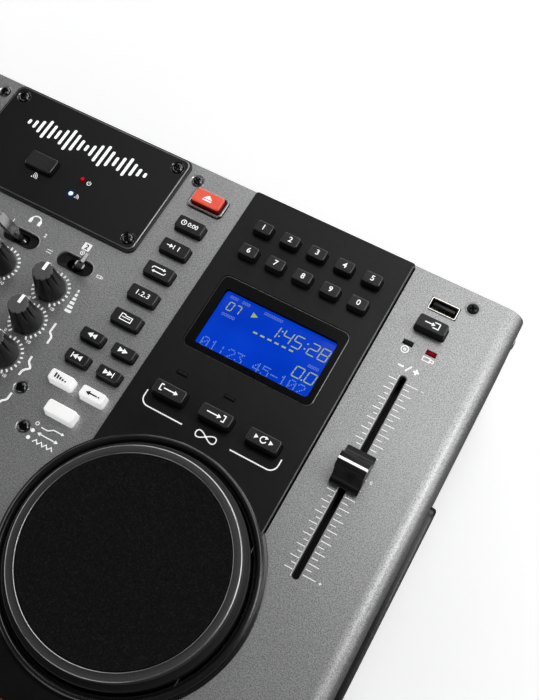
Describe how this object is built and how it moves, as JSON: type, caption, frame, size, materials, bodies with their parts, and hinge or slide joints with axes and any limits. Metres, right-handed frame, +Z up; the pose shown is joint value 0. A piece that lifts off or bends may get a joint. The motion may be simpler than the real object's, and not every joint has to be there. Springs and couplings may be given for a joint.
{
  "type": "dual disc player console",
  "caption": "Table-top dual disc player with a mixer between two decks: jog wheels, displays, keypads, pitch faders, knobs, levers and sliding disc trays.",
  "frame": {"origin": "middle of the whole console's footprint, on the plane its feet stand on", "axes": "+X to the operator's right, +Y to the back, +Z up"},
  "size_m": [0.4834, 0.307, 0.1083],
  "materials": {
    "grey_paint": "speckled silver-grey paint, satin",
    "black_steel": "black powder coat",
    "deck_black": "satin black moulding",
    "black_plastic": "moulded black plastic",
    "window": "gloss black bezel with clear window",
    "lcd": "lit blue display",
    "steel": "zinc plated",
    "board": "green circuit board",
    "rubber": "matt rubber",
    "key_black": "matt black key",
    "key_white": "translucent white key",
    "key_red": "lit red key",
    "key_green": "lit green key",
    "key_amber": "lit amber key",
    "jog_grey": "satin grey",
    "jog_pad": "matt textured pad",
    "lamp": "indicator lens",
    "drive_grey": "drive frame"
  },
  "bodies": {
    "console": {"top_panel": "grey_paint", "base_pan": "black_steel", "deck_panel_left": "deck_black", "deck_panel_right": "deck_black", "centre_plate": "deck_black", "display_windows": "window", "lcd_modules": "lcd", "jog_axles": "steel", "disc_drives": "drive_grey", "circuit_boards": "board", "panel_sockets": "black_plastic", "usb_sockets": "steel", "side_handles": "black_plastic", "feet": "rubber", "screws": "black_steel", "indicator_lamps": "lamp", "potentiometers": "drive_grey"},
    "jog_left": {"jog_wheel_left": "jog_grey", "jog_pad_left": "jog_pad"},
    "tray_left": {"disc_tray_left": "black_plastic"},
    "spindle_left": {"disc_spindle_left": "black_plastic"},
    "pickup_left": {"optical_pickup_left": "drive_grey"},
    "pitch_left": {"pitch_fader_left": "black_plastic"},
    "jog_right": {"jog_wheel_right": "jog_grey", "jog_pad_right": "jog_pad"},
    "tray_right": {"disc_tray_right": "black_plastic"},
    "spindle_right": {"disc_spindle_right": "black_plastic"},
    "pickup_right": {"optical_pickup_right": "drive_grey"},
    "pitch_right": {"pitch_fader_right": "black_plastic"},
    "crossfade": {"crossfader": "black_plastic"},
    "level_knob_left_body": {"level_knob_left": "black_plastic"},
    "treble_knob_left_body": {"treble_knob_left": "black_plastic"},
    "mid_knob_left_body": {"mid_knob_left": "black_plastic"},
    "bass_knob_left_body": {"bass_knob_left": "black_plastic"},
    "level_knob_right_body": {"level_knob_right": "black_plastic"},
    "treble_knob_right_body": {"treble_knob_right": "black_plastic"},
    "mid_knob_right_body": {"mid_knob_right": "black_plastic"},
    "bass_knob_right_body": {"bass_knob_right": "black_plastic"},
    "mic_knob_body": {"mic_knob": "black_plastic"},
    "master_knob_body": {"master_knob": "black_plastic"},
    "phones_knob_body": {"phones_knob": "black_plastic"},
    "cue_lever_body": {"cue_lever": "black_plastic"},
    "selector_left_body": {"selector_left": "black_plastic"},
    "selector_right_body": {"selector_right": "black_plastic"},
    "power_rocker": {"power_switch": "black_plastic"},
    "wireless": {"wireless_button": "key_black"},
    "eject_left": {"eject_button_left": "key_red"},
    "functions_left": {"function_keys_left": "key_black"},
    "effects_left": {"effect_keys_left": "key_white"},
    "numbers_left": {"number_keys_left": "key_black"},
    "loops_left": {"loop_keys_left": "key_black"},
    "play_left": {"play_button_left": "key_green"},
    "cue_left": {"cue_button_left": "key_amber"},
    "eject_right": {"eject_button_right": "key_red"},
    "functions_right": {"function_keys_right": "key_black"},
    "effects_right": {"effect_keys_right": "key_white"},
    "numbers_right": {"number_keys_right": "key_black"},
    "loops_right": {"loop_keys_right": "key_black"},
    "play_right": {"play_button_right": "key_green"},
    "cue_right": {"cue_button_right": "key_amber"}
  },
  "joints": [
    {"name": "jog_turn_left", "type": "hinge", "parent": "console", "child": "jog_left", "pos_m": [-0.1358, -0.045, 0.09], "axis": [0, 0, 1], "continuous": true},
    {"name": "tray_slide_left", "type": "slide", "parent": "console", "child": "tray_left", "axis": [0, -1, 0], "range_m": [0, 0.125]},
    {"name": "spindle_turn_left", "type": "hinge", "parent": "console", "child": "spindle_left", "pos_m": [-0.1358, -0.0835, 0.033], "axis": [0, 0, 1], "continuous": true},
    {"name": "pickup_slide_left", "type": "slide", "parent": "console", "child": "pickup_left", "axis": [0, 1, 0], "range_m": [0, 0.033]},
    {"name": "pitch_slide_left", "type": "slide", "parent": "console", "child": "pitch_left", "axis": [0, 1, 0], "range_m": [-0.05, 0.05]},
    {"name": "jog_turn_right", "type": "hinge", "parent": "console", "child": "jog_right", "pos_m": [0.1358, -0.045, 0.09], "axis": [0, 0, 1], "continuous": true},
    {"name": "tray_slide_right", "type": "slide", "parent": "console", "child": "tray_right", "axis": [0, -1, 0], "range_m": [0, 0.125]},
    {"name": "spindle_turn_right", "type": "hinge", "parent": "console", "child": "spindle_right", "pos_m": [0.1358, -0.0835, 0.033], "axis": [0, 0, 1], "continuous": true},
    {"name": "pickup_slide_right", "type": "slide", "parent": "console", "child": "pickup_right", "axis": [0, 1, 0], "range_m": [0, 0.033]},
    {"name": "pitch_slide_right", "type": "slide", "parent": "console", "child": "pitch_right", "axis": [0, 1, 0], "range_m": [-0.05, 0.05]},
    {"name": "crossfade_slide", "type": "slide", "parent": "console", "child": "crossfade", "axis": [1, 0, 0], "range_m": [-0.0225, 0.0225]},
    {"name": "level_knob_left_turn", "type": "hinge", "parent": "console", "child": "level_knob_left_body", "pos_m": [-0.03, 0.0501, 0.09], "axis": [0, 0, 1], "range_deg": [-150, 150]},
    {"name": "treble_knob_left_turn", "type": "hinge", "parent": "console", "child": "treble_knob_left_body", "pos_m": [-0.03, 0.03025, 0.09], "axis": [0, 0, 1], "range_deg": [-150, 150]},
    {"name": "mid_knob_left_turn", "type": "hinge", "parent": "console", "child": "mid_knob_left_body", "pos_m": [-0.03, 0.0104, 0.09], "axis": [0, 0, 1], "range_deg": [-150, 150]},
    {"name": "bass_knob_left_turn", "type": "hinge", "parent": "console", "child": "bass_knob_left_body", "pos_m": [-0.03, -0.00945, 0.09], "axis": [0, 0, 1], "range_deg": [-150, 150]},
    {"name": "level_knob_right_turn", "type": "hinge", "parent": "console", "child": "level_knob_right_body", "pos_m": [0.03, 0.0501, 0.09], "axis": [0, 0, 1], "range_deg": [-150, 150]},
    {"name": "treble_knob_right_turn", "type": "hinge", "parent": "console", "child": "treble_knob_right_body", "pos_m": [0.03, 0.03025, 0.09], "axis": [0, 0, 1], "range_deg": [-150, 150]},
    {"name": "mid_knob_right_turn", "type": "hinge", "parent": "console", "child": "mid_knob_right_body", "pos_m": [0.03, 0.0104, 0.09], "axis": [0, 0, 1], "range_deg": [-150, 150]},
    {"name": "bass_knob_right_turn", "type": "hinge", "parent": "console", "child": "bass_knob_right_body", "pos_m": [0.03, -0.00945, 0.09], "axis": [0, 0, 1], "range_deg": [-150, 150]},
    {"name": "mic_knob_turn", "type": "hinge", "parent": "console", "child": "mic_knob_body", "pos_m": [0, 0.0501, 0.09], "axis": [0, 0, 1], "range_deg": [-150, 150]},
    {"name": "master_knob_turn", "type": "hinge", "parent": "console", "child": "master_knob_body", "pos_m": [0, 0.03025, 0.09], "axis": [0, 0, 1], "range_deg": [-150, 150]},
    {"name": "phones_knob_turn", "type": "hinge", "parent": "console", "child": "phones_knob_body", "pos_m": [0, 0.0104, 0.09], "axis": [0, 0, 1], "range_deg": [-150, 150]},
    {"name": "cue_lever_swing", "type": "hinge", "parent": "console", "child": "cue_lever_body", "pos_m": [0, 0.0671, 0.085], "axis": [0, 1, 0], "range_deg": [0, 52]},
    {"name": "selector_left_swing", "type": "hinge", "parent": "console", "child": "selector_left_body", "pos_m": [-0.0324, 0.0671, 0.085], "axis": [0, 1, 0], "range_deg": [0, 52]},
    {"name": "selector_right_swing", "type": "hinge", "parent": "console", "child": "selector_right_body", "pos_m": [0.0324, 0.0671, 0.085], "axis": [0, 1, 0], "range_deg": [-52, 0]},
    {"name": "power_tip", "type": "hinge", "parent": "console", "child": "power_rocker", "pos_m": [-0.132, 0.1425, 0.044], "axis": [1, 0, 0], "range_deg": [-20, 0]},
    {"name": "wireless_press", "type": "slide", "parent": "console", "child": "wireless", "axis": [0, 0, -1], "range_m": [0, 0.001], "stiffness_N_per_m": 600},
    {"name": "eject_press_left", "type": "slide", "parent": "console", "child": "eject_left", "axis": [0, 0, -1], "range_m": [0, 0.001], "stiffness_N_per_m": 600},
    {"name": "function_press_left", "type": "slide", "parent": "console", "child": "functions_left", "axis": [0, 0, -1], "range_m": [0, 0.001], "stiffness_N_per_m": 2000},
    {"name": "effect_press_left", "type": "slide", "parent": "console", "child": "effects_left", "axis": [0, 0, -1], "range_m": [0, 0.001], "stiffness_N_per_m": 800},
    {"name": "number_press_left", "type": "slide", "parent": "console", "child": "numbers_left", "axis": [0, 0, -1], "range_m": [0, 0.001], "stiffness_N_per_m": 1500},
    {"name": "loop_press_left", "type": "slide", "parent": "console", "child": "loops_left", "axis": [0, 0, -1], "range_m": [0, 0.001], "stiffness_N_per_m": 900},
    {"name": "play_press_left", "type": "slide", "parent": "console", "child": "play_left", "axis": [0, 0, -1], "range_m": [0, 0.001], "stiffness_N_per_m": 900},
    {"name": "cue_press_left", "type": "slide", "parent": "console", "child": "cue_left", "axis": [0, 0, -1], "range_m": [0, 0.001], "stiffness_N_per_m": 900},
    {"name": "eject_press_right", "type": "slide", "parent": "console", "child": "eject_right", "axis": [0, 0, -1], "range_m": [0, 0.001], "stiffness_N_per_m": 600},
    {"name": "function_press_right", "type": "slide", "parent": "console", "child": "functions_right", "axis": [0, 0, -1], "range_m": [0, 0.001], "stiffness_N_per_m": 2000},
    {"name": "effect_press_right", "type": "slide", "parent": "console", "child": "effects_right", "axis": [0, 0, -1], "range_m": [0, 0.001], "stiffness_N_per_m": 800},
    {"name": "number_press_right", "type": "slide", "parent": "console", "child": "numbers_right", "axis": [0, 0, -1], "range_m": [0, 0.001], "stiffness_N_per_m": 1500},
    {"name": "loop_press_right", "type": "slide", "parent": "console", "child": "loops_right", "axis": [0, 0, -1], "range_m": [0, 0.001], "stiffness_N_per_m": 900},
    {"name": "play_press_right", "type": "slide", "parent": "console", "child": "play_right", "axis": [0, 0, -1], "range_m": [0, 0.001], "stiffness_N_per_m": 900},
    {"name": "cue_press_right", "type": "slide", "parent": "console", "child": "cue_right", "axis": [0, 0, -1], "range_m": [0, 0.001], "stiffness_N_per_m": 900}
  ]
}
